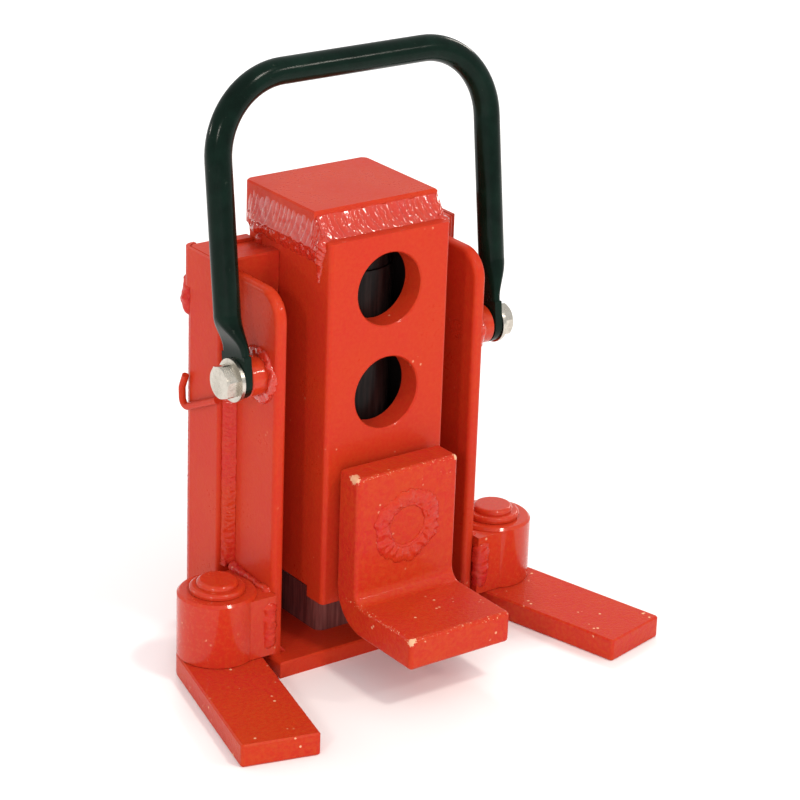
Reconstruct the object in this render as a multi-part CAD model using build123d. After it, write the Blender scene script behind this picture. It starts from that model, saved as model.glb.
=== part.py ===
"""Hydraulic machine toe jack: a welded frame round a single-acting cylinder, which lifts a box with a
head plate and a plug-in toe, two swivelling feet for stability, and a carry handle.

Millimetres. X is across the jack, -Y is the front where the toe points, +Z is up. The origin lies on
the floor, on the centre plane, under the front face of the lifting box.
"""
from build123d import *
import os

# clearances
guide_clear = 0.4        # lifting box against the posts, each side
run_clear = 0.05         # radial, a pin or ring that turns or slides in its bore
foot_clear = 0.4         # top of a foot under its pivot boss
face_clear = 0.3         # faces that slide past each other at the handle ends
floor_clear = 0.3        # fasteners under the base plate, off the floor
screw_clear = 0.5        # radial, a screw or bolt in a plain hole
past = 1.0               # how far a cut runs past the face that it leaves through

# broken edges
edge = 1.0               # plates and bars
hole_edge = 0.8

# base plate
base_t = 10.0
base_front = -5.0        # y of the front edge
cheek_outer = 75.5       # half width over the cheeks, and of the base plate's front
post_outer = 84.5        # half width over the posts, and of the base plate's rear

# frame
post_front = 52.0
post_depth = 36.0
post_top = 248.0
post_corner_r = 5.0
slot_depth = 28.5        # of the channel in each post, from the post's inner face
slot_w = 20.0
back_t = 8.0
back_half_w = 78.0
back_top = 240.0
window_half_w = 22.0     # opening in the back plate round the oil coupling
window_top = 46.0
band_t = 2.5
band_h = 24.0
cheek_t = 8.0
cheek_front = 5.0
cheek_top = 240.0
cheek_corner_r = 18.0
cheek_edge_r = 3.0       # rounded front and top edges

# lifting box, at its lowest
box_half_w = 43.0
box_rear = 84.0
box_bottom = 38.0
front_t = 16.0
front_top = 266.5
front_edge_r = 3.0
side_t = 8.0
side_bottom = 45.0
rear_t = 8.0
head_half_w = 44.0
head_rear = 90.0
head_bottom = 256.0
head_top = 282.0
head_corner_r = 5.0
weld_leg = 9.5           # head weld on top of the front plate
weld_under_top = 6.0     # and how far it stops under the head's top
weld_side = 4.0          # along the sides
rib_clear = 0.5          # guide rib to the front and rear of its channel
rib_top = 246.0
hole_r = 22.5
hole_heights = (91.0, 167.0, 232.0)
toe_hole = 0             # index of the hole that the toe is in
stroke = 65.0            # of the ram, short enough for the head to stay under the upright handle

# toe
toe_half_w = 36.5
toe_t = 20.0
toe_gap = 5.0            # shoulder between the front plate and the toe
toe_top = 128.0
toe_under = 27.5
toe_reach = 81.8         # front end of the lip, in front of the box's front face
toe_bend_r = 26.0        # outer bend
toe_fillet_r = 8.0
toe_edge_r = 2.6         # forged-looking round on every outer edge
plug_clear = 0.5         # radial
plug_shoulder_r = 30.0
plug_tip_r = 13.0
plug_tip_chamfer = 1.0
toe_weld_r = 18.2
toe_weld_size = 4.6

# feet and their pivots
pivot_x = 103.0
pivot_y = 22.7
foot_w = 48.0
foot_t = 14.2
foot_reach = 115.0       # pivot axis to the front end
foot_angle = 14.0        # outward from straight ahead
boss_r = 24.0
boss_top = 55.0
web_inset = 2.0          # filler behind a boss, inside the boss's outline and top
pin_r = 12.5
pin_top = 62.0
pin_dome = 2.5
collar_wall = 4.3
collar_t = 3.4

# carry handle
bolt_y = 22.0
bolt_z = 187.0
handle_boss_r = 12.0
handle_boss_end = 88.0   # x of the outer face
lug_t = 5.0
lug_w = 24.0
bolt_r = 6.0
bolt_hex = 19.0
bolt_head_t = 8.0
bolt_turn = 12.0         # degrees, how the hexagon happens to stand
washer_r = 13.0
washer_t = 2.3
tube_r = 8.0
tube_wall = 2.0
leg_x = 95.5
handle_rise = 174.0      # pivot axis to the centre of the grip
grip_bend_r = 46.0
handle_lean = 7.1        # degrees back from upright
neck_bottom = 15.0       # flat lug below, tube above, as heights over the pivot axis
neck_top = 40.0

# hydraulic cylinder
bore_r = 22.5
barrel_r = 28.5
barrel_top = 238.0
cyl_base = (66.0, 56.0, 26.0)    # wide, deep, high
cyl_base_corner_r = 6.0
piston_gap = 0.5         # piston above the cylinder's base at rest
piston_h = 30.0
seal_wall = 3.0          # of the piston seal and the wiper
plunger_r = 19.0
plunger_bore_r = 12.0
stop_clear = 0.5         # piston under the rod bearing, at the top of the stroke
seal_h = 6.0
wiper_h = 5.0
gland_flange_h = 8.0
gland_flange_r = 27.0
spring_r = 8.5
spring_wire_r = 1.5
spring_turns = 24
anchor_r = 5.0
anchor_h = 16.0          # stem of the lower anchor
anchor_plug_h = 12.0
anchor_stem = 8.0        # of the upper anchor, under its plug
nipple_r = 7.0
nipple_z = 24.0
nipple_depth = 10.0      # in the cylinder's base
oil_way_r = 3.0
oil_way_y = 12.0         # up-going oil way, behind the cylinder's axis
coupler_r = 13.0
coupler_len = 28.0
nose_r = 9.0
nose_len = 8.0
cap_len = 14.0
cap_clear = 0.4          # radial, on the nose
cap_wall = 2.0
cyl_screw_r = 4.0
cyl_screw_head_r = 6.5
cyl_screw_x = 27.0
cyl_screw_y = 20.0
cyl_screw_depth = 14.0   # thread in the cylinder's base

hook_wire_r = 2.2
hook_bend_r = 4.5

# welds on the frame
post_weld_leg = 6.5
post_weld_bottom = 60.0
post_weld_top = 160.0
boss_weld_deep = 5.0

# derived places
post_rear = post_front + post_depth
post_inner = box_half_w + guide_clear
slot_mid = post_front + post_depth / 2
back_rear = post_rear + back_t
cyl_y = (front_t + box_rear - rear_t) / 2
cyl_base_top = base_t + cyl_base[2]
piston_bottom = cyl_base_top + piston_gap
piston_top = piston_bottom + piston_h
gland_top = barrel_top + gland_flange_h
spring_bottom = cyl_base_top + anchor_h
spring_top = head_bottom - anchor_plug_h - anchor_stem
coupler_start = back_rear + 6.0

lug_x = handle_boss_end + face_clear + lug_t / 2
washer_x = lug_x + lug_t / 2 + face_clear
head_x = washer_x + washer_t


def block(x0, x1, y0, y1, z0, z1):
    """A box from its low and high corners."""
    return Pos((x0 + x1) / 2, (y0 + y1) / 2, (z0 + z1) / 2) * Box(x1 - x0, y1 - y0, z1 - z0)


def rod(r, z0, z1, x=0.0, y=0.0):
    """An upright cylinder."""
    return Pos(x, y, (z0 + z1) / 2) * Cylinder(r, z1 - z0)


def ring(r_out, r_in, z0, z1, x=0.0, y=0.0):
    """An upright tube."""
    return rod(r_out, z0, z1, x, y) - rod(r_in, z0 - past, z1 + past, x, y)


def along_x(r, x0, x1, y, z):
    """A cylinder lying along X."""
    return Pos((x0 + x1) / 2, y, z) * Rot(0, 90, 0) * Cylinder(r, abs(x1 - x0))


def along_y(r, y0, y1, x, z):
    """A cylinder lying along Y."""
    return Pos(x, (y0 + y1) / 2, z) * Rot(90, 0, 0) * Cylinder(r, abs(y1 - y0))


def mirrored(shape):
    """The same piece on the other side of the jack."""
    return mirror(shape, about=Plane.YZ)


def upright_edges(shape, keep):
    """Vertical edges whose centre passes the test."""
    return [e for e in shape.edges().filter_by(Axis.Z) if keep(e.center())]


# ---------------------------------------------------------------- frame

def base_plate():
    front = block(-cheek_outer, cheek_outer, base_front, post_front, 0, base_t)
    rear = block(-post_outer, post_outer, post_front - 4, back_rear, 0, base_t)
    plate = front + rear
    plate = chamfer(plate.faces().sort_by(Axis.Z)[-1].edges(), edge)
    for x, y in cylinder_screw_places():
        plate -= rod(cyl_screw_r + screw_clear, -past, base_t + past, x, y)
        plate -= rod(cyl_screw_head_r + 2 * screw_clear, -past, base_t / 2, x, y)
    return plate


def left_post():
    post = block(-post_outer, -post_inner, post_front, post_rear, base_t, post_top)
    slot = block(-post_inner - slot_depth, -post_inner + 1, slot_mid - slot_w / 2,
                 slot_mid + slot_w / 2, base_t - 1, post_top + 1)
    post = fillet(upright_edges(post, lambda c: c.X < -post_outer + 1 and c.Y > slot_mid), post_corner_r)
    post = fillet(upright_edges(post, lambda c: c.X < -post_outer + 1 and c.Y < slot_mid), 2 * edge)
    post = chamfer([e for e in post.faces().sort_by(Axis.Z)[-1].edges() if e.center().X < -post_inner - 1],
                   edge)
    return post - slot


def back_plate():
    plate = block(-back_half_w, back_half_w, post_rear, back_rear, base_t, back_top)
    return plate - block(-window_half_w, window_half_w, post_rear - 1, back_rear + 1, base_t - 1, window_top)


def top_band():
    """Strap round the tops of the posts and the back plate."""
    z0 = post_top - band_h
    wide = post_outer + band_t
    strap = block(-wide, wide, post_front + 2, post_rear + band_t, z0, post_top)
    strap = fillet(upright_edges(strap, lambda c: c.Y > slot_mid), post_corner_r + band_t)
    core = block(-post_outer, post_outer, post_front, post_rear, z0 - 1, post_top + 1)
    core = fillet(upright_edges(core, lambda c: c.Y > slot_mid), post_corner_r)
    return strap - core - block(-back_half_w, back_half_w, post_rear, post_rear + 20, z0 - 1, post_top + 1)


def left_cheek():
    plate = block(-cheek_outer, -cheek_outer + cheek_t, cheek_front, post_front, base_t, cheek_top)
    corner = [e for e in plate.edges().filter_by(Axis.X)
              if e.center().Y < cheek_front + 1 and e.center().Z > cheek_top - 1]
    plate = fillet(corner, cheek_corner_r)
    free = [e for e in plate.faces().sort_by(Axis.X)[0].edges()
            if e.center().Y < post_front - 1 and e.center().Z > base_t + 1]
    inner = [e for e in plate.faces().sort_by(Axis.X)[-1].edges()
             if e.center().Y < post_front - 1 and e.center().Z > base_t + 1]
    plate = fillet(free + inner, cheek_edge_r)
    return plate - along_x(bolt_r + run_clear, -cheek_outer - 1, -cheek_outer + cheek_t + 1, bolt_y, bolt_z)


def left_pivot_boss():
    z0 = foot_t + foot_clear
    boss = rod(boss_r, z0, boss_top, -pivot_x, pivot_y)
    boss = chamfer(boss.edges().filter_by(GeomType.CIRCLE).group_by(Axis.Z)[-1], 1.5 * edge)
    return boss - rod(pin_r + run_clear, z0 - 1, boss_top + 1, -pivot_x, pivot_y)


def left_boss_web():
    """Filler that carries the pivot boss on the cheek."""
    z0 = foot_t + foot_clear
    half = boss_r - web_inset
    web = block(-pivot_x + boss_r / 3, -cheek_outer, pivot_y - half, pivot_y + half, z0, boss_top - web_inset)
    return web - rod(boss_r, z0 - 1, boss_top + 1, -pivot_x, pivot_y)


def handle_bosses():
    boss = along_x(handle_boss_r, cheek_outer, handle_boss_end, bolt_y, bolt_z)
    boss = chamfer(boss.edges().filter_by(GeomType.CIRCLE).group_by(Axis.X)[-1], edge)
    boss -= along_x(bolt_r + run_clear, cheek_outer - past, handle_boss_end + past, bolt_y, bolt_z)
    return [boss, mirrored(boss)]


def hose_hook():
    """Bent rod on the left post that keeps the hose out of the way."""
    x = -post_outer - hook_wire_r
    far = post_rear + 1
    path = FilletPolyline((x, post_front - 2, 163), (x, far - 1, 145), (x, far, 158), (x, far - 4, 167),
                          radius=hook_bend_r)
    return sweep(path.location_at(0) * Circle(hook_wire_r), path=path)


# ---------------------------------------------------------------- feet

def foot_frame(shape):
    """Turns a foot drawn straight ahead of the origin into its place on the left."""
    return Pos(-pivot_x, pivot_y, 0) * Rot(0, 0, -foot_angle) * shape


def left_foot():
    half = foot_w / 2
    bar = block(-half, half, -foot_reach, 0, 0, foot_t) + rod(half, 0, foot_t)
    bar = fillet(upright_edges(bar, lambda c: c.Y < -foot_reach + 1), 2 * edge)
    levels = bar.faces().sort_by(Axis.Z)
    bar = chamfer(levels[0].edges() + levels[-1].edges(), edge)
    return foot_frame(bar - rod(pin_r, -past, foot_t + past))


def left_pivot_pin():
    pin = rod(pin_r, floor_clear, pin_top)
    return foot_frame(fillet(pin.edges().filter_by(GeomType.CIRCLE).group_by(Axis.Z)[-1], pin_dome))


def left_pin_collar():
    z0 = boss_top + face_clear
    collar = ring(pin_r + collar_wall, pin_r, z0, z0 + collar_t)
    outer = [e for e in collar.edges().filter_by(GeomType.CIRCLE).group_by(Axis.Z)[-1]
             if e.radius > pin_r + 1]
    return foot_frame(fillet(outer, collar_t * 0.6))


# ---------------------------------------------------------------- lifting box

def front_plate():
    plate = block(-box_half_w, box_half_w, 0, front_t, box_bottom, front_top)
    front_edges = [e for e in plate.edges().filter_by(Axis.Z) if e.center().Y < 1]
    plate = fillet(front_edges, front_edge_r)
    for z in hole_heights:
        plate -= along_y(hole_r, -past, front_t + past, 0, z)
    rims = [e for e in plate.edges().filter_by(GeomType.CIRCLE)
            if e.center().Y < 1 and abs(e.radius - hole_r) < 0.01]
    return chamfer(rims, hole_edge)


def left_side_plate():
    return block(-box_half_w, -box_half_w + side_t, front_t, box_rear, side_bottom, head_bottom)


def box_rear_plate():
    half = box_half_w - side_t
    return block(-half, half, box_rear - rear_t, box_rear, side_bottom, head_bottom)


def left_guide_rib():
    half = slot_w / 2 - rib_clear
    return block(-post_inner - slot_depth + 2 * rib_clear, -box_half_w, slot_mid - half, slot_mid + half,
                 side_bottom, rib_top)


def head_block():
    head = block(-head_half_w, head_half_w, front_t, head_rear, head_bottom, head_top)
    head = fillet(upright_edges(head, lambda c: c.Y > slot_mid), head_corner_r)
    return chamfer(head.faces().sort_by(Axis.Z)[-1].edges(), edge)


def head_weld():
    """Fillet weld where the head block meets the top of the lifting box."""
    top = head_top - weld_under_top
    front = make_face(Polyline((front_t, front_top), (front_t - weld_leg, front_top), (front_t, top),
                               close=True))
    bead = extrude(Plane.YZ * front, amount=box_half_w, both=True)
    low = head_bottom - weld_side
    side = make_face(Polyline((-head_half_w, top), (-head_half_w - weld_side, front_top), (-box_half_w, low),
                              (-box_half_w, head_bottom), (-head_half_w, head_bottom), close=True))
    strip = Pos(0, front_t, 0) * extrude(Plane.XZ * side, amount=-(box_rear - front_t))
    return [bead, strip, mirrored(strip)]


def plunger():
    """Hollow ram, with the return spring inside it."""
    return ring(plunger_r, plunger_bore_r, piston_bottom, head_bottom, 0, cyl_y)


def piston_ring():
    body = ring(bore_r - run_clear, plunger_r, piston_bottom, piston_top, 0, cyl_y)
    groove = ring(bore_r + past, bore_r - seal_wall, *piston_groove(), 0, cyl_y)
    return body - groove


def piston_groove():
    """Heights of the groove for the piston seal."""
    mid = (piston_bottom + piston_top) / 2
    return mid - seal_h / 2, mid + seal_h / 2


def piston_seal():
    return ring(bore_r - run_clear, bore_r - seal_wall, *piston_groove(), 0, cyl_y)


def upper_spring_anchor():
    plug_bottom = head_bottom - anchor_plug_h
    plug = rod(plunger_bore_r, plug_bottom, head_bottom, 0, cyl_y)
    return plug + rod(anchor_r, spring_top, plug_bottom, 0, cyl_y)


# ---------------------------------------------------------------- toe

def toe_claw():
    """Thick plate bent to an L, with a rounded heel."""
    back = -toe_gap
    front = back - toe_t
    lip = toe_under + toe_t
    profile = make_face(Polyline((back, toe_top), (front, toe_top), (front, lip), (-toe_reach, lip),
                                 (-toe_reach, toe_under), (back, toe_under), close=True))
    claw = extrude(Plane.YZ * profile, amount=toe_half_w, both=True)

    def cross_edge(y, z):
        return [e for e in claw.edges().filter_by(Axis.X)
                if abs(e.center().Y - y) < 0.1 and abs(e.center().Z - z) < 0.1]

    claw = fillet(cross_edge(front, lip), toe_fillet_r)
    claw = fillet(cross_edge(back, toe_under), toe_bend_r)
    outline = claw.faces().sort_by(Axis.X)
    ends = [e for e in claw.edges().filter_by(Axis.X)
            if abs(e.center().Z - toe_top) < 0.1 or abs(e.center().Y + toe_reach) < 0.1]
    claw = fillet(outline[0].edges() + outline[-1].edges() + ends, toe_edge_r)
    return claw - along_y(plug_tip_r, front - past, back + past, 0, hole_heights[toe_hole])


def toe_plug():
    """Turned plug: a tip through the claw, a shoulder, and the body that sits in the hole."""
    z = hole_heights[toe_hole]
    back = -toe_gap
    tip = along_y(plug_tip_r, back - toe_t, back, 0, z)
    shoulder = along_y(plug_shoulder_r, back, -face_clear, 0, z)
    body = along_y(hole_r - plug_clear, -face_clear, front_t, 0, z)
    ends = body.edges().filter_by(GeomType.CIRCLE).group_by(Axis.Y)[-1]
    return tip + shoulder + chamfer(ends, plug_tip_chamfer)


def toe_plug_weld():
    """Ring weld that joins the plug's tip to the claw."""
    z = hole_heights[toe_hole]
    face = -toe_gap - toe_t
    far = toe_weld_r + toe_weld_size
    bead = Pos(0, face, z) * Rot(90, 0, 0) * Torus(toe_weld_r, toe_weld_size)
    return bead & block(-far, far, face - far, face, z - far, z + far)


# ---------------------------------------------------------------- handle

def handle_section(rise, x, wide, deep):
    """Face across a leg, at a height above the pivot."""
    plane = Plane(origin=(x, bolt_y, bolt_z + rise), x_dir=(1, 0, 0), z_dir=(0, 0, 1))
    return (plane * RectangleRounded(wide, deep, wide / 2 - 0.05)).face()


def carry_handle():
    """Bail of tube with flattened ends, drawn upright and then leaned back."""
    grip_z = bolt_z + handle_rise
    tube_start = bolt_z + neck_top
    path = FilletPolyline((-leg_x, bolt_y, tube_start), (-leg_x, bolt_y, grip_z), (leg_x, bolt_y, grip_z),
                          (leg_x, bolt_y, tube_start), radius=grip_bend_r)
    start = Plane(origin=(-leg_x, bolt_y, tube_start), z_dir=(0, 0, 1))
    bail = sweep(start * Circle(tube_r), path=path) - sweep(start * Circle(tube_r - tube_wall), path=path)
    step = leg_x - lug_x
    neck = loft([
        handle_section(neck_bottom, lug_x, lug_t, lug_w),
        handle_section(neck_bottom + 5, lug_x + 0.08 * step, 1.16 * lug_t, 0.97 * lug_w),
        handle_section(neck_bottom + 15, lug_x + 0.7 * step, 1.38 * tube_r, 0.83 * lug_w),
        handle_section(neck_top - 3, leg_x, 1.92 * tube_r, 2.08 * tube_r),
        handle_section(neck_top, leg_x, 2 * tube_r, 2 * tube_r),
    ])
    lug = block(lug_x - lug_t / 2, lug_x + lug_t / 2, bolt_y - lug_w / 2, bolt_y + lug_w / 2,
                bolt_z, bolt_z + neck_bottom)
    lug += along_x(lug_w / 2, lug_x - lug_t / 2, lug_x + lug_t / 2, bolt_y, bolt_z)
    end = lug + neck - along_x(bolt_r + run_clear, lug_x - lug_t, lug_x + lug_t, bolt_y, bolt_z)
    handle = bail + end + mirrored(end)
    return handle.rotate(Axis((0, bolt_y, bolt_z), (1, 0, 0)), -handle_lean)


def handle_bolts():
    hexagon = RegularPolygon(bolt_hex / 2, 6, major_radius=False)
    head = extrude(hexagon, amount=bolt_head_t)
    crown = rod(bolt_hex * 0.56, 0, bolt_head_t)
    crown = chamfer(crown.edges().filter_by(GeomType.CIRCLE).group_by(Axis.Z)[-1], 1.2)
    head = Pos(head_x, bolt_y, bolt_z) * Rot(0, 90, 0) * Rot(0, 0, bolt_turn) * (head & crown)
    bolt = head + along_x(bolt_r, cheek_outer - cheek_t, head_x + 0.1, bolt_y, bolt_z)
    return [bolt, mirrored(bolt)]


def handle_washers():
    disc = along_x(washer_r, washer_x, head_x, bolt_y, bolt_z)
    disc -= along_x(bolt_r + screw_clear, washer_x - past, head_x + past, bolt_y, bolt_z)
    return [disc, mirrored(disc)]


# ---------------------------------------------------------------- hydraulic cylinder

def cylinder_screw_places():
    return [(x, cyl_y + y) for x in (-cyl_screw_x, cyl_screw_x) for y in (-cyl_screw_y, cyl_screw_y)]


def cylinder_base():
    """Block under the barrel, with the oil way drilled in from the rear."""
    wide, deep, _ = cyl_base
    rear = cyl_y + deep / 2
    body = block(-wide / 2, wide / 2, cyl_y - deep / 2, rear, base_t, cyl_base_top)
    body = fillet(body.edges().filter_by(Axis.Z), cyl_base_corner_r)
    body -= along_y(oil_way_r, cyl_y, rear + past, 0, nipple_z)
    body -= along_y(nipple_r, rear - nipple_depth, rear + past, 0, nipple_z)
    body -= rod(oil_way_r, nipple_z, cyl_base_top + past, 0, cyl_y + oil_way_y)
    for x, y in cylinder_screw_places():
        body -= rod(cyl_screw_r, base_t - past, base_t + cyl_screw_depth + 2, x, y)
    return body


def cylinder_barrel():
    return ring(barrel_r, bore_r, cyl_base_top, barrel_top, 0, cyl_y)


def gland_stack():
    """Heights between which the rod bearing and the rod seal lie; the bearing stops the piston."""
    seal_top = barrel_top - seal_h
    return piston_top + stroke + stop_clear, seal_top - seal_h, seal_top


def rod_bearing():
    z0, z1, _ = gland_stack()
    return ring(bore_r, plunger_r + run_clear, z0, z1, 0, cyl_y)


def rod_seal():
    _, z0, z1 = gland_stack()
    return ring(bore_r, plunger_r + run_clear, z0, z1, 0, cyl_y)


def gland_nut():
    z0 = gland_stack()[2]
    nut = rod(bore_r, z0, barrel_top, 0, cyl_y) + rod(gland_flange_r, barrel_top, gland_top, 0, cyl_y)
    nut -= rod(plunger_r + face_clear, z0 - past, gland_top + past, 0, cyl_y)
    return nut - rod(plunger_r + seal_wall, gland_top - wiper_h, gland_top + past, 0, cyl_y)


def rod_wiper():
    return ring(plunger_r + seal_wall, plunger_r + run_clear, gland_top - wiper_h, gland_top + 1.5, 0, cyl_y)


def lower_spring_anchor():
    return rod(anchor_r, cyl_base_top, spring_bottom, 0, cyl_y)


def return_spring():
    """Extension spring inside the ram, between its two anchors."""
    end = spring_wire_r + screw_clear
    height = spring_top - spring_bottom - 2 * end
    helix = Pos(0, cyl_y, spring_bottom + end) * Helix(height / spring_turns, height, spring_r)
    start = Plane(origin=helix @ 0, z_dir=helix % 0)
    return sweep(start * Circle(spring_wire_r), path=helix, is_frenet=True)


def cylinder_screws():
    """Socket screws up through the base plate."""
    screws = []
    for x, y in cylinder_screw_places():
        head = rod(cyl_screw_head_r, floor_clear, base_t / 2, x, y) - rod(cyl_screw_r - 1, -past, base_t / 3, x, y)
        screws.append(head + rod(cyl_screw_r - run_clear, base_t / 2, base_t + cyl_screw_depth, x, y))
    return screws


def port_nipple():
    start = cyl_y + cyl_base[1] / 2 - nipple_depth + screw_clear
    pipe = along_y(nipple_r, start, coupler_start, 0, nipple_z)
    return pipe - along_y(oil_way_r, start - past, coupler_start + past, 0, nipple_z)


def coupler_body():
    """Quick coupling half, with flats for a spanner and a nose that the hose's half goes over."""
    end = coupler_start + coupler_len
    body = along_y(coupler_r, coupler_start, end, 0, nipple_z)
    flats = extrude(RegularPolygon(coupler_r + screw_clear, 6), amount=nose_len / 2, both=True)
    body += Pos(0, coupler_start + nose_len * 0.75, nipple_z) * Rot(90, 0, 0) * flats
    body += along_y(nose_r, end - past, end + nose_len, 0, nipple_z)
    return body - along_y(nose_r * 0.55, end - nose_len, end + nose_len + past, 0, nipple_z)


def dust_cap():
    y0 = coupler_start + coupler_len + screw_clear
    cap = along_y(nose_r + cap_clear + cap_wall, y0, y0 + cap_len, 0, nipple_z)
    cap = fillet(cap.edges().filter_by(GeomType.CIRCLE).group_by(Axis.Y)[-1], cap_wall)
    return cap - along_y(nose_r + cap_clear, y0 - past, y0 + cap_len - cap_wall, 0, nipple_z)


# ---------------------------------------------------------------- welds

def post_welds():
    """Upright fillet welds between each cheek and the front of its post."""
    x, y = -cheek_outer, post_front
    corner = make_face(Polyline((x, y), (x - post_weld_leg, y), (x, y - post_weld_leg), close=True))
    weld = Pos(0, 0, post_weld_bottom) * extrude(corner, amount=post_weld_top - post_weld_bottom)
    return [weld, mirrored(weld)]


def boss_welds():
    """Welds that close the gap between a pivot boss, its web and the cheek, at the front."""
    z0, z1 = foot_t + foot_clear, boss_top - 2 * web_inset
    y = pivot_y - boss_r + web_inset
    weld = block(-pivot_x + 2 * boss_r / 3, -cheek_outer, y - boss_weld_deep, y, z0, z1)
    weld -= rod(boss_r, z0 - past, z1 + past, -pivot_x, pivot_y)
    return [weld, mirrored(weld)]


def handle_boss_welds():
    cone = Pos(cheek_outer + boss_weld_deep / 2, bolt_y, bolt_z) * Rot(0, 90, 0) * Cone(
        handle_boss_r + boss_weld_deep, handle_boss_r, boss_weld_deep)
    weld = cone - along_x(handle_boss_r, 0, handle_boss_end, bolt_y, bolt_z)
    return [weld, mirrored(weld)]


pairs = {
    "post": left_post, "cheek": left_cheek, "pivot_boss": left_pivot_boss, "boss_web": left_boss_web,
    "foot": left_foot, "pivot_pin": left_pivot_pin, "pin_collar": left_pin_collar,
    "side_plate": left_side_plate, "guide_rib": left_guide_rib,
}
singles = [
    base_plate, back_plate, top_band, handle_bosses, hose_hook, front_plate, box_rear_plate, head_block,
    head_weld, plunger, piston_ring, piston_seal, upper_spring_anchor, toe_claw, toe_plug, toe_plug_weld,
    carry_handle, handle_bolts, handle_washers, cylinder_base, cylinder_barrel, rod_bearing, rod_seal,
    gland_nut, rod_wiper, lower_spring_anchor, return_spring, cylinder_screws, port_nipple, coupler_body,
    dust_cap, post_welds, boss_welds, handle_boss_welds,
]


def save(name, shape):
    solids = shape if isinstance(shape, list) else [shape]
    export_step(Compound([s for part in solids for s in part.solids()]), f"parts/{name}.step")


os.makedirs("parts", exist_ok=True)
for name, make in pairs.items():
    piece = make()
    save("left_" + name, piece)
    save("right_" + name, mirrored(piece))
for make in singles:
    save(make.__name__, make())
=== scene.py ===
import math

import bpy
from mathutils import Matrix, Vector, noise


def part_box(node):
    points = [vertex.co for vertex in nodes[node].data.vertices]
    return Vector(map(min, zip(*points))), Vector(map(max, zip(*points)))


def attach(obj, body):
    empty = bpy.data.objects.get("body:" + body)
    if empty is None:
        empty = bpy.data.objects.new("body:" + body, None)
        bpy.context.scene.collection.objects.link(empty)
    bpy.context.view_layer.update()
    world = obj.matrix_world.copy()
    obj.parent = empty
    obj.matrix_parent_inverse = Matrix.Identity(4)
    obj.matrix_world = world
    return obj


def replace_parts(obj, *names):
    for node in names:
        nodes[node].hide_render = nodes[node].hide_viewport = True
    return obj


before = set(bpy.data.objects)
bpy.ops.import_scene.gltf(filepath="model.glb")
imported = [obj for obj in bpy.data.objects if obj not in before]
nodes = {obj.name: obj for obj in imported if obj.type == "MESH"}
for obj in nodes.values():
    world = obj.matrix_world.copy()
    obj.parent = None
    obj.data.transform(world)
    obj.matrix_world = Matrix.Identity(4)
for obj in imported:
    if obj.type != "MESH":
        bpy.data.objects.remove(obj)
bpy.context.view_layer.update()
mm = 0.001
left, right = -1, 1
print("frame loaded:", len(nodes), "nodes")


# shader wiring: a wire is an output socket that understands arithmetic

class Wire:
    def __init__(self, tree, socket):
        self.tree = tree
        self.socket = socket

    def reckon(self, operation, *others):
        node = self.tree.nodes.new("ShaderNodeMath")
        node.operation = operation
        for slot, value in zip(node.inputs, others):
            connect(self.tree, slot, value)
        return Wire(self.tree, node.outputs[0])

    def __add__(self, other):
        return self.reckon("ADD", self, other)

    def __sub__(self, other):
        return self.reckon("SUBTRACT", self, other)

    def __rsub__(self, other):
        return self.reckon("SUBTRACT", other, self)

    def __mul__(self, other):
        return self.reckon("MULTIPLY", self, other)

    def __truediv__(self, other):
        return self.reckon("DIVIDE", self, other)

    def __lt__(self, other):
        return self.reckon("LESS_THAN", self, other)

    def size(self):
        return self.reckon("ABSOLUTE", self)

    __radd__ = __add__
    __rmul__ = __mul__


def connect(tree, slot, value):
    if isinstance(value, Wire):
        tree.links.new(value.socket, slot)
    else:
        slot.default_value = value


class Finish:
    def __init__(self, name):
        self.material = bpy.data.materials.new(name)
        self.material.use_nodes = True
        self.tree = self.material.node_tree
        self.tree.nodes.clear()
        self.place = self.add("TexCoord", output="Object")

    def add(self, kind, settings=None, inputs=None, output=0):
        node = self.tree.nodes.new("ShaderNode" + kind)
        for key, value in (settings or {}).items():
            if key == "stops":
                self.setStops(node.color_ramp, value)
            else:
                setattr(node, key, value)
        for key, value in (inputs or {}).items():
            connect(self.tree, node.inputs[key], value)
        return Wire(self.tree, node.outputs[output])

    def setStops(self, ramp, stops):
        while len(ramp.elements) < len(stops):
            ramp.elements.new(1.0)
        for element, (place, level) in zip(ramp.elements, stops):
            element.position = place
            element.color = (level, level, level, 1)

    def grain(self, scale, detail=3.0, roughness=0.5, stretch=None):
        where = self.place
        if stretch:
            where = self.add("Mapping", inputs={0: self.place, "Scale": stretch})
        return self.add("TexNoise", inputs={"Vector": where, "Scale": scale, "Detail": detail,
                                            "Roughness": roughness})

    def ramp(self, value, *stops):
        return self.add("ValToRGB", {"stops": stops}, {0: value})

    def mix(self, factor, first, second):
        return self.add("Mix", {"data_type": "RGBA"}, {0: factor, 6: first, 7: second}, output=2)

    def axis(self, letter):
        return self.add("SeparateXYZ", inputs={0: self.place}, output=letter)

    # 1 within a radius of a point, fading out through a ragged edge
    def patch(self, point, radius, ragged):
        gap = self.add("VectorMath", {"operation": "DISTANCE"}, {0: self.place, 1: point}, output="Value")
        return self.ramp(gap / radius + ragged * 3.0 - 1.5, (0.72, 1.0), (0.80, 0.0))

    # 1 within a small distance of an edge, given as axis and place pairs
    def strip(self, bounds, reach=1.6):
        near = [(self.axis(letter) - place * mm).size() < reach * mm for letter, place in bounds]
        return near[0] * near[1]

    def bump(self, height, distance, strength=1.0, under=None):
        inputs = {"Height": height, "Distance": distance, "Strength": strength}
        if under:
            inputs["Normal"] = under
        return self.add("Bump", inputs=inputs)

    def surface(self, **inputs):
        names = {key: key.replace("_", " ") for key in inputs}
        shader = self.add("BsdfPrincipled", inputs={names[key]: value for key, value in inputs.items()})
        out = self.tree.nodes.new("ShaderNodeOutputMaterial")
        self.tree.links.new(shader.socket, out.inputs["Surface"])
        return self.material


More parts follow.
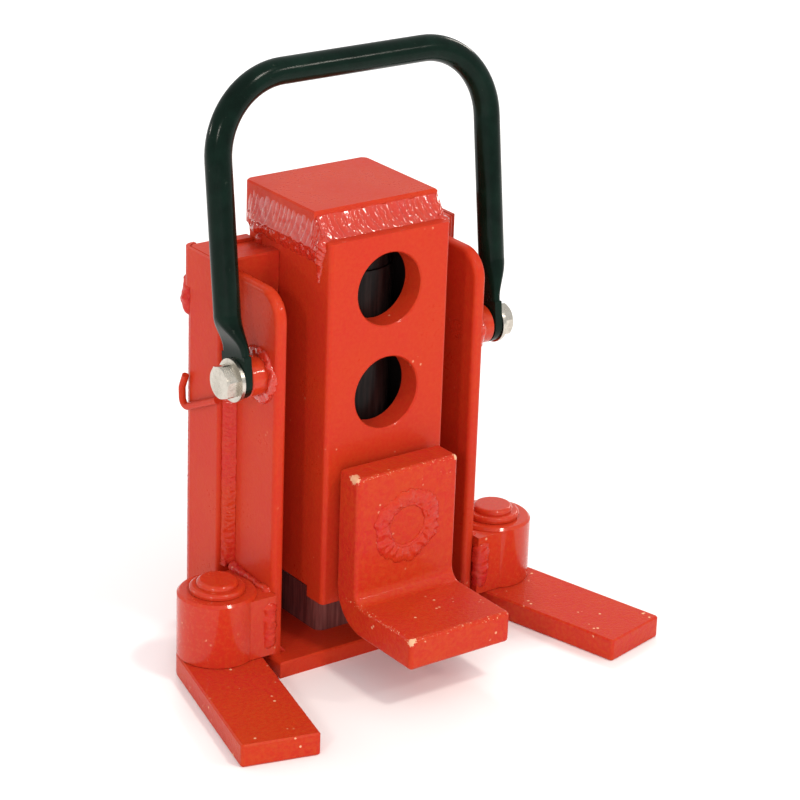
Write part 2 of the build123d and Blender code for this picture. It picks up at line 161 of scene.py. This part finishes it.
redLook = {
    "lit": (0.48, 0.031, 0.009, 1),
    "deep": (0.47, 0.013, 0.016, 1),
    "warm": (0.50, 0.066, 0.012, 1),
    "bare": (0.86, 0.62, 0.36, 1),
    # painted shade: near black for the inner walls of the box
    "paintedInnerShade": (0.012, 0.009, 0.008, 1),
}


# enamel sprayed over rolled plate: slow colour drift, fine mottle, pits, chips and orange peel
def redPaint(name, mottle=0.25, pits=0.15, peel=0.10, roughness=0.27, gloss=0.06, depth=0.35, chips=(),
             edges=(), inside=None):
    paint = Finish(name)
    drift = paint.ramp(paint.grain(22, 3), (0.36, 0.0), (0.66, 1.0))
    fine = paint.ramp(paint.grain(420, 5, 0.62), (0.40, 0.0), (0.62, 1.0))
    colour = paint.mix(drift * depth, redLook["lit"], redLook["deep"])
    colour = paint.mix(fine * mottle, colour, redLook["warm"])
    speck = paint.add("TexVoronoi", {"feature": "F1"}, {"Vector": paint.place, "Scale": 210, "Randomness": 1})
    sparse = 0.69 - 0.14 * pits
    pick = paint.ramp(paint.grain(70, 2), (sparse, 0.0), (sparse + 0.05, 1.0))
    dot = paint.ramp(speck, (0.13, 1.0), (0.22, 0.0)) * pick
    colour = paint.mix(dot * pits, colour, redLook["bare"])
    ragged = paint.grain(480, 5, 0.75)
    rubbed = paint.ramp(paint.grain(650, 4, 0.7), (0.60, 0.0), (0.66, 1.0))
    for bounds in edges:
        colour = paint.mix(paint.strip(bounds) * rubbed * 0.7, colour, redLook["bare"])
    for point, radius in chips:
        worn = paint.patch(tuple(value * mm for value in point), radius * mm, ragged)
        colour = paint.mix(worn * 0.65, colour, redLook["bare"])
    matt = fine * 0.10 + drift * 0.06 + roughness
    # painted shade: within the mask the paint turns near black and rougher
    if inside:
        colour = paint.mix(inside(paint), colour, redLook["paintedInnerShade"])
        matt = matt + inside(paint) * 0.35
    relief = paint.bump(paint.grain(900, 2), 0.00012, peel * 2)
    relief = paint.bump(paint.grain(150, 3), 0.0006, peel * 1.4, relief)
    relief = paint.bump(fine, 0.00022, mottle * 0.8, relief)
    relief = paint.bump(dot, 0.0003, pits * 0.5, relief)
    return paint.surface(Base_Color=colour, Roughness=matt, Normal=relief, Coat_Weight=gloss,
                         Coat_Roughness=0.08, IOR=1.5, Specular_IOR_Level=0.09)


# paint over a weld is thicker, wetter and lumpier, with pale painted glints
def weldPaint():
    paint = Finish("paintOverWeld")
    lump = paint.grain(330, 4, 0.6)
    drift = paint.ramp(paint.grain(60, 3), (0.35, 0.0), (0.70, 1.0))
    colour = paint.mix(drift * 0.5, redLook["lit"], redLook["deep"])
    # painted highlight: pale flecks in the bare-metal colour stand in for glints on the weld
    paintedGlint = paint.ramp(paint.grain(520, 3, 0.7), (0.63, 0.0), (0.70, 1.0))
    colour = paint.mix(paintedGlint * 0.35, colour, redLook["bare"])
    relief = paint.bump(lump, 0.0007, 0.22)
    return paint.surface(Base_Color=colour, Roughness=lump * 0.10 + 0.10, Normal=relief, Coat_Weight=0.75,
                         Coat_Roughness=0.06, IOR=1.5, Specular_IOR_Level=0.3)


def blackCoat():
    coat = Finish("handleCoat")
    cloud = coat.ramp(coat.grain(45, 4, 0.6), (0.35, 0.0), (0.70, 1.0))
    fine = coat.grain(1100, 2)
    rub = coat.ramp(coat.grain(190, 5, 0.7), (0.66, 0.0), (0.72, 1.0))
    colour = coat.mix(cloud, (0.001, 0.006, 0.0036, 1), (0.003, 0.014, 0.009, 1))
    colour = coat.mix(rub * 0.4, colour, (0.05, 0.065, 0.05, 1))
    relief = coat.bump(fine, 0.00008, 0.3, coat.bump(coat.grain(120, 3), 0.0005, 0.16))
    return coat.surface(Base_Color=colour, Roughness=cloud * 0.08 + rub * 0.15 + 0.13, Normal=relief,
                        Specular_IOR_Level=0.10)


# bright plate with a soft bloom and turning marks
def plated(name, colour, dull, roughness, scratchScale=600, sprayed=None):
    metal = Finish(name)
    bloom = metal.ramp(metal.grain(160, 4, 0.6), (0.38, 0.0), (0.70, 1.0))
    marks = metal.grain(scratchScale, 3, 0.6, (1, 1, 9))
    tint = metal.mix(bloom * 0.7, colour, dull)
    bare = 1.0
    if sprayed:
        bare = 1 - sprayed(metal)
        tint = metal.mix(bare, redLook["lit"], tint)
    relief = metal.bump(marks, 0.00006, 0.5, metal.bump(metal.grain(900, 2), 0.00006, 0.3))
    return metal.surface(Base_Color=tint, Metallic=bare, Roughness=bloom * 0.14 + marks * 0.08 + roughness,
                         Normal=relief)


def darkSteel(name, low, high):
    steel = Finish(name)
    streak = steel.ramp(steel.grain(90, 4, 0.6, (6, 6, 0.35)), (0.40, 0.0), (0.66, 1.0))
    oil = steel.ramp(steel.grain(28, 3), (0.40, 0.0), (0.70, 1.0))
    colour = steel.mix(streak, low, high)
    relief = steel.bump(streak, 0.0001, 0.4)
    return steel.surface(Base_Color=colour, Roughness=oil * 0.2 + 0.34, Normal=relief,
                         Specular_IOR_Level=0.14)


def moulded(name, colour, roughness):
    rubber = Finish(name)
    grit = rubber.grain(1400, 3)
    cloud = rubber.ramp(rubber.grain(80, 3), (0.35, 0.0), (0.70, 1.0))
    tint = rubber.mix(cloud * 0.5, colour, tuple(min(1, part * 1.9) for part in colour[:3]) + (1,))
    return rubber.surface(Base_Color=tint, Roughness=cloud * 0.12 + roughness,
                          Normal=rubber.bump(grit, 0.0001, 0.5))


# where the painted shade inside the box begins and where the bolts' sprayed paint ends, in metres from the
# centre plane or behind the front
paintEndsAndShadeBounds = {
    "frontRear": 0.0158,
    "sideInside": 0.0352,
    "rearInside": 0.0765,
    "cheekInside": 0.0678,
}


# painted shade: the box's inner walls and the front plate's rear face turn near black, standing in for the
# shade inside the box
def shadeBehindFront(paint):
    return (1 - (paint.axis("Y") < paintEndsAndShadeBounds["frontRear"])) * shadeOnInnerSide(paint)


def shadeOnInnerSide(paint):
    return paint.axis("X").size() < paintEndsAndShadeBounds["sideInside"]


def shadeOnInnerRear(paint):
    return paint.axis("Y") < paintEndsAndShadeBounds["rearInside"]


# the bolts' ends lie flush in the cheeks and were sprayed with them
def boltTips(metal):
    return metal.axis("X").size() < paintEndsAndShadeBounds["cheekInside"]


# in mm: bare spots as place and radius, rubbed edges as two bounds each
toeWear = {
    "chips": (((-37, -20, 128), 5.2), ((-35.5, -81, 46.5), 3.6), ((36, -24, 127), 3.2),
              ((-36, -33, 50), 2.6)),
    "edges": ((("Y", -81.2), ("Z", 46.9)), (("X", -35.9), ("Z", 46.9)), (("X", 35.9), ("Z", 46.9)),
              (("Y", -24.4), ("Z", 127.4))),
}
brightZinc, dullZinc = (0.60, 0.565, 0.50, 1), (0.36, 0.335, 0.285, 1)
finishes = {
    "plate": redPaint("paintOnPlate"),
    # the front plate, the side plates and the rear plate carry painted shade on their inner walls
    "front": redPaint("paintOnFrontPlate", pits=0.35, inside=shadeBehindFront),
    "side": redPaint("paintOnSides", inside=shadeOnInnerSide),
    "rear": redPaint("paintOnRear", inside=shadeOnInnerRear),
    "toe": redPaint("paintOnToe", mottle=0.45, pits=0.6, peel=0.22, roughness=0.30, gloss=0.08, depth=0.6,
                    **toeWear),
    "foot": redPaint("paintOnFeet", mottle=0.5, pits=0.7, peel=0.24, roughness=0.28, gloss=0.08, depth=0.6),
    "boss": redPaint("paintOnBosses", mottle=0.35, pits=0.4, peel=0.14, roughness=0.14, gloss=0.42),
    "lumpyWeld": redPaint("paintOnLumpyWeld", mottle=0.3, pits=0.3, peel=0.5, roughness=0.20, gloss=0.30,
                          depth=0.9),
    "weld": weldPaint(),
    "black": blackCoat(),
    "zinc": plated("brightZinc", brightZinc, dullZinc, 0.17),
    "bolt": plated("boltZinc", brightZinc, dullZinc, 0.17, sprayed=boltTips),
    "dark": darkSteel("oiledBlackSteel", (0.003, 0.002, 0.002, 1), (0.016, 0.009, 0.008, 1)),
    "base": darkSteel("primedSteel", (0.10, 0.030, 0.026, 1), (0.19, 0.065, 0.055, 1)),
    "chrome": plated("hardChrome", (0.80, 0.81, 0.83, 1), (0.70, 0.71, 0.73, 1), 0.06),
    "bronze": plated("machinedBronze", (0.60, 0.38, 0.17, 1), (0.42, 0.25, 0.11, 1), 0.24),
    "wire": plated("springWire", (0.42, 0.42, 0.43, 1), (0.30, 0.29, 0.28, 1), 0.26),
    "coupling": plated("platedCoupling", (0.66, 0.65, 0.62, 1), (0.50, 0.49, 0.46, 1), 0.22, 900),
    "seal": moulded("sealRubber", (0.018, 0.018, 0.018, 1), 0.5),
    "cap": moulded("capPlastic", (0.020, 0.020, 0.024, 1), 0.42),
}
nodeFinish = {
    "plate": ["base_plate", "left_post", "right_post", "back_plate", "top_band", "left_cheek", "right_cheek",
              "left_guide_rib", "right_guide_rib", "head_block", "hose_hook"],
    "front": ["front_plate"],
    "side": ["left_side_plate", "right_side_plate"],
    "rear": ["box_rear_plate"],
    "toe": ["toe_claw", "toe_plug"],
    "foot": ["left_foot", "right_foot"],
    "boss": ["left_pivot_boss", "right_pivot_boss", "left_boss_web", "right_boss_web", "handle_bosses",
             "left_pivot_pin", "right_pivot_pin", "left_pin_collar", "right_pin_collar"],
    "black": ["carry_handle"],
    "zinc": ["handle_washers", "cylinder_screws"],
    "bolt": ["handle_bolts"],
    "dark": ["cylinder_barrel", "gland_nut"],
    "base": ["cylinder_base"],
    "chrome": ["plunger"],
    "bronze": ["piston_ring", "rod_bearing"],
    "wire": ["return_spring", "lower_spring_anchor", "upper_spring_anchor"],
    "coupling": ["port_nipple", "coupler_body"],
    "seal": ["piston_seal", "rod_seal", "rod_wiper"],
    "cap": ["dust_cap"],
}
for finish, names in nodeFinish.items():
    for name in names:
        nodes[name].data.materials.clear()
        nodes[name].data.materials.append(finishes[finish])
print("finishes:", len(finishes))


# welds: real beads with ripples, laid as strips whose two toes lie on the plates

def vec(x, y, z):
    return Vector((x, y, z)) * mm


def smooth(edge):
    edge = max(0.0, min(1.0, edge))
    return edge * edge * (3 - 2 * edge)


def meshPiece(name, verts, faces, body, finish="weld", slot="red_paint"):
    mesh = bpy.data.meshes.new(name)
    mesh.from_pydata(verts, [], faces)
    mesh.validate()
    mesh.polygons.foreach_set("use_smooth", [True] * len(mesh.polygons))
    mesh.materials.append(finishes[finish])
    piece = bpy.data.objects.new(name, mesh)
    bpy.context.scene.collection.objects.link(piece)
    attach(piece, body)
    return piece


# rings of points joined into a closed skin with capped ends, or into a hoop
def skin(rings, hoop=False):
    count = len(rings[0])
    verts = [point for ring in rings for point in ring]
    faces = []
    last = len(rings) if hoop else len(rings) - 1
    for i in range(last):
        a, b = i * count, ((i + 1) % len(rings)) * count
        for j in range(count):
            k = (j + 1) % count
            faces.append((a + j, a + k, b + k, b + j))
    if not hoop:
        faces.append(tuple(range(count - 1, -1, -1)))
        faces.append(tuple((len(rings) - 1) * count + j for j in range(count)))
    return verts, faces


def along(points, spacing):
    dense = []
    for a, b in zip(points, points[1:]):
        steps = max(1, int((b[0] - a[0]).length / spacing))
        for i in range(steps):
            t = i / steps
            dense.append(tuple(p.lerp(q, t) for p, q in zip(a, b)))
    dense.append(points[-1])
    return dense


# ripple height between 0 and 1, one crescent for each pitch, lagging towards the toes and leaning
def crescent(distance, across, pitch, lag, seed, lean=0.0):
    jitter = noise.noise(Vector((distance / pitch * 0.31, seed, 0.5))) * 1.1
    phase = distance / pitch + jitter - lag * (2 * across - 1) ** 2 - lean * across
    phase -= math.floor(phase)
    return phase ** 0.7 * (1 - phase ** 5)


# rows are (upper toe, lower toe, hidden corner); the skin bulges between the toes, which wander
def weldStrip(rows, bulge=0.8, pitch=2.4, depth=0.55, lag=0.55, rough=0.5, seed=1.0, lean=0.0, wander=0.5,
              spacing=0.45):
    rings = []
    dense = along(rows, spacing * mm)
    travelled = 0.0
    count = 19
    for i, (top, low, corner) in enumerate(dense):
        if i:
            travelled += (top - dense[i - 1][0]).length / mm
        out = ((top + low) / 2 - corner).normalized()
        slope = (top - low).normalized()
        topDrift = noise.noise(Vector((travelled / 5.0, seed, 7.0)))
        lowDrift = noise.noise(Vector((travelled / 4.0, seed, 3.0)))
        top = top + slope * wander * topDrift * mm
        low = low + slope * wander * lowDrift * mm
        ends = smooth(min(i, len(dense) - 1 - i) / 6)
        strength = 0.75 + 0.6 * noise.noise(Vector((travelled / 9.0, seed, 11.0)))
        ring = []
        for j in range(count):
            across = j / (count - 1)
            point = top.lerp(low, across)
            crown = math.sin(math.pi * across)
            ripple = crescent(travelled, across, pitch, lag, seed, lean)
            lift = bulge * crown + depth * strength * ripple * crown ** 0.8
            lift += rough * noise.noise(point * 260 + Vector((seed, 0, 0))) * crown
            lift += rough * 0.5 * noise.noise(point * 620 + Vector((0, seed, 0))) * crown
            ring.append(tuple(point + out * lift * mm * ends))
        ring.append(tuple(corner))
        rings.append(ring)
    return skin(rings)


# round bead along a path of (place, radius); flat is its height over its width
def bead(points, flat=1.0, out=Vector((0, 0, 1)), pitch=2.0, depth=0.3, rough=0.4, seed=2.0, hoop=False):
    spacing, count = 0.45, 18
    dense = []
    for (a, ra), (b, rb) in zip(points, points[1:]):
        steps = max(1, int((b - a).length / (spacing * mm)))
        dense += [(a.lerp(b, i / steps), ra + (rb - ra) * i / steps) for i in range(steps)]
    if not hoop:
        dense.append(points[-1])
    rings = []
    travelled = 0.0
    for i, (place, radius) in enumerate(dense):
        before = dense[i - 1][0] if (i or hoop) else place
        after = dense[(i + 1) % len(dense)][0] if (i < len(dense) - 1 or hoop) else place
        travelled += (place - before).length / mm if i else 0
        way = (after - before).normalized()
        side = way.cross(out).normalized()
        up = side.cross(way).normalized()
        cap = 1.0 if hoop else math.sqrt(max(0.03, smooth(min(i, len(dense) - 1 - i) * spacing / radius)))
        ring = []
        for j in range(count):
            angle = 2 * math.pi * j / count
            across = (math.sin(angle) + 1) / 2
            swell = radius + depth * crescent(travelled, across, pitch, 0.5, seed)
            point = place + (side * math.sin(angle) + up * math.cos(angle) * flat) * swell * mm * cap
            wobble = rough * noise.noise(point * 300 + Vector((seed, 0, 0)))
            ring.append(tuple(point + (point - place).normalized() * wobble * mm * cap))
        rings.append(ring)
    return skin(rings, hoop)


def joined(parts):
    verts, faces = [], []
    for partVerts, partFaces in parts:
        base = len(verts)
        verts += partVerts
        faces += [tuple(base + k for k in face) for face in partFaces]
    return verts, faces


headLook = {
    "underTop": 2.2,
    "leg": 9.3,
    "flare": 2.3,
    "pitch": 4.6,
    "lag": 0.30,
    "lean": 1.1,
    "rearGap": 5,
    # corner blob and the run below it, as knots: inward from the plate's edge, ahead of the
    # head, down from the shelf, radius
    "run": ((2.5, 7, -2.5, 4.2), (0.5, 7, 3, 4.6), (0.5, 5, 11, 3.4), (0.8, 5, 19, 2.0), (0.9, 4, 27, 1.2)),
    "shortRun": 3,    # knots of it on the right side
}


def headWeld():
    low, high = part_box("head_block")
    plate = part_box("front_plate")[1]
    halfWide = high[0] / mm
    frontY, rearY = low[1] / mm, high[1] / mm - headLook["rearGap"]
    top = high[2] / mm - headLook["underTop"]
    shelf = plate[2] / mm
    bottom = low[2] / mm
    wide = plate[0] / mm
    toeY = frontY - headLook["leg"]
    flare = halfWide + headLook["flare"]
    pitch, lag, lean = headLook["pitch"], headLook["lag"], headLook["lean"]
    front = [(vec(x, frontY + 0.3, top), vec(x, toeY, shelf - 0.9), vec(x, frontY + 1.5, shelf - 2.5))
             for x in (-wide + 0.6, -wide / 2, 0, wide / 2, wide - 0.6)]
    parts = [weldStrip(front, -1.5, pitch, 2.6, lag, 0.5, 3.0, lean, 1.4)]
    for side in (left, right):
        # the flank runs on under the head and thins out on the wall
        upper, lower = [], []
        for y in (frontY - 7, frontY + 0.5, frontY + 20, frontY + 45, rearY - 6, rearY):
            # it slopes down with the front weld ahead of the head, and thins out at the rear
            crest = top + 0.6 if y > frontY else top - 0.75 * (top - shelf)
            reach = flare if y < rearY else halfWide + 0.2
            knee = vec(side * reach, y, bottom + 4)
            brow = vec(side * (halfWide - 0.4), y, crest)
            upper.append((brow, knee, vec(side * (halfWide - 3), y, bottom + 2)))
            tucked = vec(side * (flare - 1.3), y, bottom + 8)
            lower.append((tucked, vec(side * (wide - 0.6), y, bottom - 6), vec(side * (wide - 3), y, bottom)))
        parts.append(weldStrip(upper, -1.6, pitch, 2.4, lag, 0.7, 5.0 + side, lean, 1.4))
        parts.append(weldStrip(lower, 0.9, pitch * 1.2, 1.1, lag, 1.2, 8.0 + side, 0.6, 1.2))
        knots = [(vec(side * (wide - inward), frontY - ahead, shelf - down), radius)
                 for inward, ahead, down, radius in headLook["run"]]
        if side == right:
            knots = knots[:headLook["shortRun"]]
        parts.append(bead(knots, 0.85, Vector((side, 0, 0)), 4.4, 0.9, 1.1, 11.0))
    piece = meshPiece("headWeld", *joined(parts), body="lift_box")
    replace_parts(piece, "head_weld")


# knots as inward, y, height over the wall's top, and radius
tackLook = {
    "seam": ((0, 74, -23, 2.4), (0, 74, -4, 2.8)),
    "lump": ((0.8, 64, 1, 2.4), (0, 73, 1, 4.4), (0.8, 82, 1, 2.6)),
}


def boxTacks():
    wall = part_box("left_side_plate")
    z = wall[1][2] / mm
    parts = []
    for side in (left, right):
        x = side * abs(wall[0][0]) / mm
        out = Vector((side, 0, 0))
        seam, lump = [[(vec(x - side * inward, y, z + up), radius)
                       for inward, y, up, radius in tackLook[name]] for name in ("seam", "lump")]
        parts.append(bead(seam, 0.7, out, 2.2, 0.4, 0.5, 13.0))
        parts.append(bead(lump, 0.9, out, 1.9, 0.5, 1.7, 17.0))
    meshPiece("boxTacks", *joined(parts), body="lift_box")


def circle(centre, radius, axisA, axisB, width, count=48, wander=0.0, seed=0.0):
    points = []
    for i in range(count + 1):
        angle = 2 * math.pi * i / count
        spread = noise.noise(Vector((math.cos(angle), math.sin(angle), seed)) * 1.7)
        r = radius + wander * spread
        place = centre + (axisA * math.cos(angle) + axisB * math.sin(angle)) * r * mm
        points.append((place, width * (1 + 0.25 * spread)))
    points[-1] = points[0]
    return points


toeRing = {"radius": 18.0, "width": 5.2, "flat": 0.24, "rimRadius": 13.4, "rimWidth": 1.0}


def toeWeld():
    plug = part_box("toe_plug")
    z = (plug[0][2] + plug[1][2]) / 2
    y = plug[0][1]
    centre = Vector((0, y, z))
    acrossX, acrossZ, out = Vector((1, 0, 0)), Vector((0, 0, 1)), Vector((0, -1, 0))
    ring = circle(centre, toeRing["radius"], acrossX, acrossZ, toeRing["width"], wander=2.2, seed=4.0)
    rim = circle(centre, toeRing["rimRadius"], acrossX, acrossZ, toeRing["rimWidth"], wander=0.8, seed=9.0)
    parts = [bead(ring, toeRing["flat"], out, 5.2, 0.5, 1.5, 19.0, True),
             bead(rim, 0.8, out, 5.0, 0.1, 0.5, 23.0, True)]
    piece = meshPiece("toeWeld", *joined(parts), body="toe", finish="lumpyWeld")
    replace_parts(piece, "toe_plug_weld")


# lengths in mm; the tack's knots are y, height and radius
frameLook = {
    "postLeg": 6.5,
    "postHeights": (55, 90, 125, 162),
    "ringRadius": 13.6,
    "ringWidth": 3.1,
    "backUp": 5.5,
    "backLeg": 4.5,
    "backHeights": (12, 80, 160, 236),
    "footLeg": 4.5,
    "footPlaces": (8, 28, 50),
    "baseTop": 10,
    "tackOut": 2.6,
    "tack": ((88.5, 203, 2.6), (90, 214, 5.0), (89, 230, 2.8)),
}


def postWelds(s, x, y):
    leg = frameLook["postLeg"]
    rows = [(vec(s * x, y - leg, z), vec(s * (x - leg), y, z), vec(s * x, y, z))
            for z in frameLook["postHeights"]]
    return [weldStrip(rows, 0.3, 3.3, 0.8, 0.7, 0.5, 29.0 - s)]


# along the filler's top, a knot behind it, and up the front of the boss
def bossWelds(s, x, y):
    web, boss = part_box("left_boss_web"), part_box("left_pivot_boss")
    top = web[1][2] / mm
    low, high = boss[0][2] / mm, boss[1][2] / mm
    upward, forward = Vector((0, 0, 1)), Vector((0, -1, 0))
    seam = [(vec(s * (x - 1.0), y - 3, top + 1.5), 3.6), (vec(s * (x - 1.0), y - 14, top + 0.5), 2.6),
            (vec(s * (x - 1.0), y - 30, top), 2.4), (vec(s * (x - 1.0), y - 46, top - 1), 3.2)]
    knot = [(vec(s * (x - 7), y + 0.5, top + 2), 3.4), (vec(s * (x - 1), y - 1, top + 2.5), 3.8)]
    front = [(vec(s * (x - 4.2), 3.4, low + 2), 4.4), (vec(s * (x - 4.0), 3.2, 30), 5.2),
             (vec(s * (x - 4.2), 3.4, high - 4), 5.4)]
    return [bead(seam, 1.0, upward, 2.4, 0.5, 1.3, 31.0 - s),
            bead(knot, 0.9, upward, 2.8, 0.4, 0.8, 37.0),
            bead(front, 0.8, forward, 5.5, 0.7, 0.9, 41.0 - s)]


def ringWelds(s, x):
    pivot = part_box("handle_bosses")
    centre = Vector((s * x * mm, (pivot[0][1] + pivot[1][1]) / 2, (pivot[0][2] + pivot[1][2]) / 2))
    ring = circle(centre, frameLook["ringRadius"], Vector((0, 1, 0)), Vector((0, 0, 1)),
                  frameLook["ringWidth"], wander=1.2, seed=6.0)
    return [bead(ring, 0.9, Vector((-s, 0, 0)), 2.4, 0.5, 1.1, 43.0 - s, True)]


# back plate to post, cheek to base plate, and a tack proud of the post's rear corner
def plateWelds(s, cheek, post):
    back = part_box("back_plate")
    edge, rear = s * back[0][0] / mm, back[0][1] / mm
    up, leg = frameLook["backUp"], frameLook["backLeg"]
    rows = [(vec(edge, rear + up, z), vec(edge - s * leg, rear, z), vec(edge, rear, z))
            for z in frameLook["backHeights"]]
    parts = [weldStrip(rows, 0.4, 3.0, 0.7, 0.7, 0.5, 47.0 - s)]
    inner = s * cheek[1][0] / mm
    leg, base = frameLook["footLeg"], frameLook["baseTop"]
    rows = [(vec(inner, y, base + leg), vec(inner + s * leg, y, base), vec(inner, y, base))
            for y in frameLook["footPlaces"]]
    parts.append(weldStrip(rows, 0.3, 2.8, 0.6, 0.7, 0.5, 53.0 - s))
    edge = s * (post[0][0] / mm + frameLook["tackOut"])
    tack = [(vec(edge, y, z), radius) for y, z, radius in frameLook["tack"]]
    parts.append(bead(tack, 0.9, Vector((-s, 0, 0)), 6.0, 0.3, 0.8, 59.0))
    return parts


# x comes from the left side's boxes, so s is 1 on the left and -1 on the right
def frameWelds():
    cheek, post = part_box("left_cheek"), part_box("left_post")
    x, y = cheek[0][0] / mm, post[0][1] / mm
    postParts, bossParts, ringParts, backParts = [], [], [], []
    for s in (-left, -right):
        postParts += postWelds(s, x, y)
        bossParts += bossWelds(s, x, y)
        ringParts += ringWelds(s, x)
        backParts += plateWelds(s, cheek, post)
    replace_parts(meshPiece("postWelds", *joined(postParts), body="frame", finish="lumpyWeld"), "post_welds")
    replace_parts(meshPiece("bossWelds", *joined(bossParts), body="frame", finish="lumpyWeld"), "boss_welds")
    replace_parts(meshPiece("handleBossWelds", *joined(ringParts), body="frame"), "handle_boss_welds")
    meshPiece("plateWelds", *joined(backParts), body="frame", finish="lumpyWeld")


headWeld()
boxTacks()
toeWeld()
frameWelds()
print("welds laid")


# floor, light and camera

def areaLight(name, place, target, size, power, colour, mirrored):
    data = bpy.data.lights.new(name, "AREA")
    data.shape = "RECTANGLE"
    data.size, data.size_y = size
    data.energy = power
    data.color = colour
    lamp = bpy.data.objects.new(name, data)
    lamp.location = place
    lamp.rotation_euler = (Vector(target) - Vector(place)).to_track_quat("-Z", "Y").to_euler()
    lamp.visible_glossy = mirrored
    bpy.context.scene.collection.objects.link(lamp)


studio = {
    "floorSize": 24.0,
    "floorTone": (0.93, 0.93, 0.93, 1),
    "world": 0.76,
    "lampTone": (1.0, 0.93, 0.84),
}

aim, warm, white = (0, 0.03, 0.15), studio["lampTone"], (1, 1, 1)
# name: place, target, size, watts, colour, shows in reflections
lamps = {
    "key": ((-1.5, -0.9, 1.0), aim, (0.12, 0.30), 6.5, warm, True),
    "front": ((1.0, -1.35, 1.2), aim, (0.12, 0.18), 4.8, warm, True),
    "fill": ((-1.2, -1.7, 0.5), aim, (0.9, 0.9), 12, (1.0, 0.72, 0.86), False),
    "flank": ((-1.2, 1.4, 0.62), aim, (0.18, 0.18), 3.2, warm, True),
    "top": ((0.2, -0.85, 1.5), aim, (0.22, 0.22), 8.5, warm, True),
    "rim": ((1.5, 0.7, 0.9), aim, (0.2, 0.6), 4.5, warm, True),
    "backdrop": ((1.9, 3.0, 3.6), (1.6, 2.5, 0), (1.6, 1.6), 100, white, False),
}


def buildStudio():
    half = studio["floorSize"] / 2
    mesh = bpy.data.meshes.new("floor")
    corners = [(-half, -half, 0), (half, -half, 0), (half, half, 0), (-half, half, 0)]
    mesh.from_pydata(corners, [], [(0, 1, 2, 3)])
    floor = bpy.data.objects.new("floor", mesh)
    bpy.context.scene.collection.objects.link(floor)
    pale = Finish("paleFloor")
    mesh.materials.append(pale.surface(Base_Color=studio["floorTone"], Roughness=0.9, Specular_IOR_Level=0.1))
    world = bpy.data.worlds.new("studio")
    world.use_nodes = True
    bpy.context.scene.world = world
    background = world.node_tree.nodes["Background"]
    background.inputs["Color"].default_value = (1, 1, 1, 1)
    background.inputs["Strength"].default_value = studio["world"]
    bpy.context.scene.view_settings.view_transform = "Standard"
    for name, lamp in lamps.items():
        areaLight(name, *lamp)


# the camera's place, what it looks at, and how far it leans
view = {
    "place": (-0.9431, -1.2765, 0.8073),
    "target": (0.0346, 0.03285, 0.1434),
    "roll": 2.07,
    "lens": 130.17,
}


def buildCamera():
    data = bpy.data.cameras.new("camera")
    data.lens = view["lens"]
    data.sensor_width = 36
    camera = bpy.data.objects.new("camera", data)
    bpy.context.scene.collection.objects.link(camera)
    place = Vector(view["place"])
    forward = (Vector(view["target"]) - place).normalized()
    across = forward.cross(Vector((0, 0, 1))).normalized()
    upward = across.cross(forward)
    roll = math.radians(view["roll"])
    cameraX = across * math.cos(roll) + upward * math.sin(roll)
    cameraY = upward * math.cos(roll) - across * math.sin(roll)
    turn = Matrix((cameraX, cameraY, -forward)).transposed()
    camera.matrix_world = Matrix.Translation(place) @ turn.to_4x4()
    bpy.context.scene.camera = camera


buildStudio()
buildCamera()
print("studio ready")
